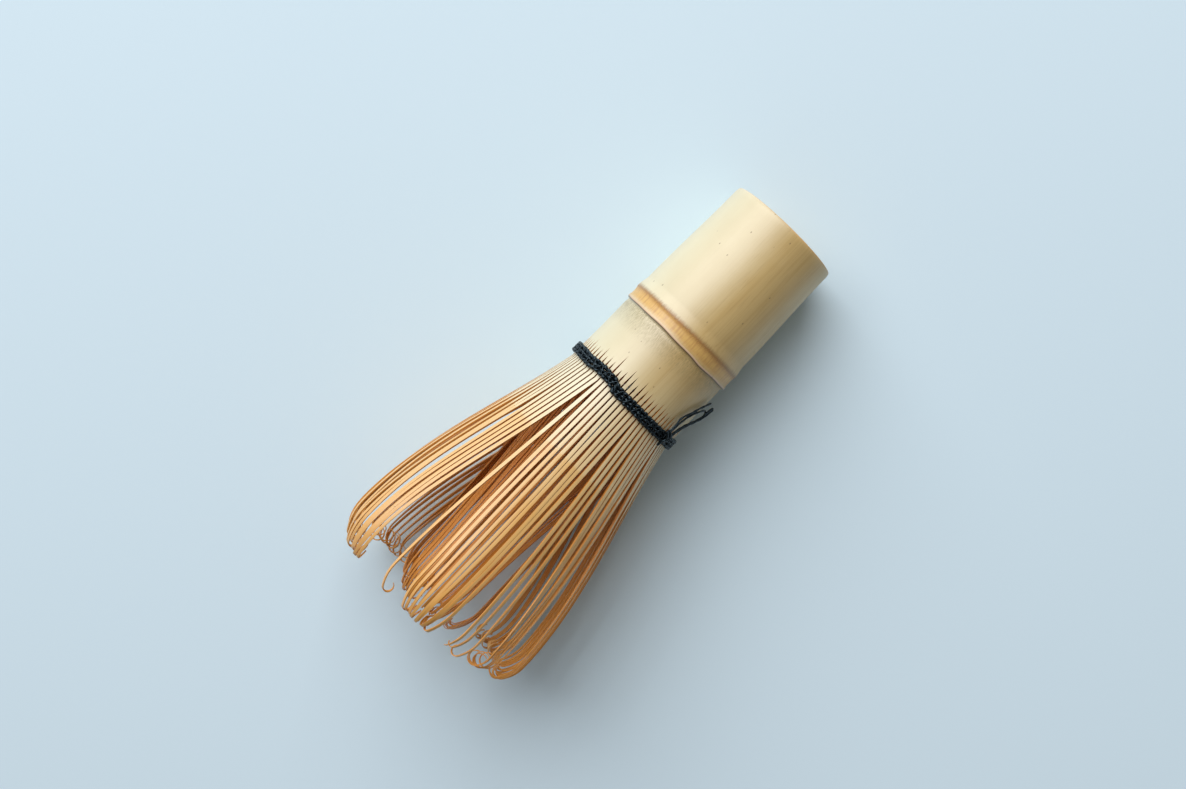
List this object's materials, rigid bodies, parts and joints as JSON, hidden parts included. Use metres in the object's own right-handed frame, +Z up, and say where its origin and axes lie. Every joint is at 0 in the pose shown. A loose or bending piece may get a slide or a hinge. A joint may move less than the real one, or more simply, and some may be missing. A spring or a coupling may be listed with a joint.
{
  "type": "bamboo tea whisk",
  "caption": "Hand-cut bamboo tea whisk lying on its side: hollow culm handle with a node ring, split into outer and inner rings of fine curled tines and laced with dark thread.",
  "frame": {"origin": "centre of the bounding box at the level of the surface the whisk lies on", "axes": "+X from the butt towards the tips, +Z up, +Y to the side where the thread's knot is; the whisk's own axis rises a few degrees from +X because the tines flare wider than the butt"},
  "size_m": [0.1116, 0.0496, 0.0456],
  "materials": {
    "culm": "satin dried bamboo skin",
    "tines": "smooth shaved bamboo",
    "inner_tines": "smooth shaved bamboo, darker inner wood",
    "thread": "plied cotton thread"
  },
  "bodies": {
    "handle": {"handle": "culm", "lacing": "thread", "knot": "thread", "thread_tails": "thread"},
    "outer_tines_1": {"outer_tines_1": "tines"},
    "outer_tines_2": {"outer_tines_2": "tines"},
    "outer_tines_3": {"outer_tines_3": "tines"},
    "outer_tines_4": {"outer_tines_4": "tines"},
    "outer_tines_5": {"outer_tines_5": "tines"},
    "outer_tines_6": {"outer_tines_6": "tines"},
    "outer_tines_7": {"outer_tines_7": "tines"},
    "outer_tines_8": {"outer_tines_8": "tines"},
    "outer_tines_9": {"outer_tines_9": "tines"},
    "outer_tines_10": {"outer_tines_10": "tines"},
    "inner_tines_1": {"inner_tines_1": "inner_tines"},
    "inner_tines_2": {"inner_tines_2": "inner_tines"},
    "inner_tines_3": {"inner_tines_3": "inner_tines"},
    "inner_tines_4": {"inner_tines_4": "inner_tines"},
    "inner_tines_5": {"inner_tines_5": "inner_tines"},
    "inner_tines_6": {"inner_tines_6": "inner_tines"}
  },
  "joints": [
    {"name": "outer_flex_1", "type": "hinge", "parent": "handle", "child": "outer_tines_1", "pos_m": [-0.00736, -0.01198, 0.02319], "axis": [0.0663, -0.4777, -0.876], "range_deg": [-2.4, 2], "stiffness_Nm_per_rad": 0.0481},
    {"name": "outer_flex_2", "type": "hinge", "parent": "handle", "child": "outer_tines_2", "pos_m": [-0.0078, -0.00552, 0.02912], "axis": [0.0304, -0.9152, -0.4018], "range_deg": [-2.4, 2], "stiffness_Nm_per_rad": 0.0037},
    {"name": "outer_flex_3", "type": "hinge", "parent": "handle", "child": "outer_tines_3", "pos_m": [-0.00789, 0.00009, 0.03026], "axis": [-0.0008, -0.9999, 0.0101], "range_deg": [-2.4, 2], "stiffness_Nm_per_rad": 0.0333},
    {"name": "outer_flex_4", "type": "hinge", "parent": "handle", "child": "outer_tines_4", "pos_m": [-0.00777, 0.00641, 0.02863], "axis": [-0.0359, -0.8795, 0.4745], "range_deg": [-2.4, 2], "stiffness_Nm_per_rad": 0.0111},
    {"name": "outer_flex_5", "type": "hinge", "parent": "handle", "child": "outer_tines_5", "pos_m": [-0.00756, 0.00996, 0.02587], "axis": [-0.0556, -0.6754, 0.7354], "range_deg": [-2.4, 2], "stiffness_Nm_per_rad": 0.0185},
    {"name": "outer_flex_6", "type": "hinge", "parent": "handle", "child": "outer_tines_6", "pos_m": [-0.00712, 0.0131, 0.0201], "axis": [-0.0731, -0.2497, 0.9656], "range_deg": [-2.4, 2], "stiffness_Nm_per_rad": 0.0222},
    {"name": "outer_flex_7", "type": "hinge", "parent": "handle", "child": "outer_tines_7", "pos_m": [-0.00658, 0.01297, 0.01286], "axis": [-0.0723, 0.2849, 0.9558], "range_deg": [-2.4, 2], "stiffness_Nm_per_rad": 0.0333},
    {"name": "outer_flex_8", "type": "hinge", "parent": "handle", "child": "outer_tines_8", "pos_m": [-0.00606, 0.00835, 0.00608], "axis": [-0.0466, 0.7859, 0.6166], "range_deg": [-2.4, 2], "stiffness_Nm_per_rad": 0.037},
    {"name": "outer_flex_9", "type": "hinge", "parent": "handle", "child": "outer_tines_9", "pos_m": [-0.00602, -0.00776, 0.00558], "axis": [0.0429, 0.823, -0.5664], "range_deg": [-2.4, 2], "stiffness_Nm_per_rad": 0.037},
    {"name": "outer_flex_10", "type": "hinge", "parent": "handle", "child": "outer_tines_10", "pos_m": [-0.00656, -0.01299, 0.01263], "axis": [0.0719, 0.302, -0.9506], "range_deg": [-2.4, 2], "stiffness_Nm_per_rad": 0.037},
    {"name": "inner_flex_1", "type": "hinge", "parent": "handle", "child": "inner_tines_1", "pos_m": [-0.00757, -0.00807, 0.02606], "axis": [0.0491, -0.7592, -0.649], "range_deg": [-0.9, 1.5], "stiffness_Nm_per_rad": 0.0208},
    {"name": "inner_flex_2", "type": "hinge", "parent": "handle", "child": "inner_tines_2", "pos_m": [-0.00778, 0.00225, 0.0288], "axis": [-0.0141, -0.9824, 0.186], "range_deg": [-0.9, 1.5], "stiffness_Nm_per_rad": 0.0192},
    {"name": "inner_flex_3", "type": "hinge", "parent": "handle", "child": "inner_tines_3", "pos_m": [-0.00709, 0.01193, 0.01962], "axis": [-0.0733, -0.2359, 0.969], "range_deg": [-0.9, 1.5], "stiffness_Nm_per_rad": 0.0208},
    {"name": "inner_flex_4", "type": "hinge", "parent": "handle", "child": "inner_tines_4", "pos_m": [-0.00613, 0.00756, 0.00705], "axis": [-0.0466, 0.7869, 0.6153], "range_deg": [-0.9, 1.5], "stiffness_Nm_per_rad": 0.0208},
    {"name": "inner_flex_5", "type": "hinge", "parent": "handle", "child": "inner_tines_5", "pos_m": [-0.00596, -0.00267, 0.00471], "axis": [0.016, 0.9772, -0.2116], "range_deg": [-0.9, 1.5], "stiffness_Nm_per_rad": 0.0192},
    {"name": "inner_flex_6", "type": "hinge", "parent": "handle", "child": "inner_tines_6", "pos_m": [-0.00644, -0.011, 0.01107], "axis": [0.067, 0.4601, -0.8853], "range_deg": [-0.9, 1.5], "stiffness_Nm_per_rad": 0.0208}
  ]
}
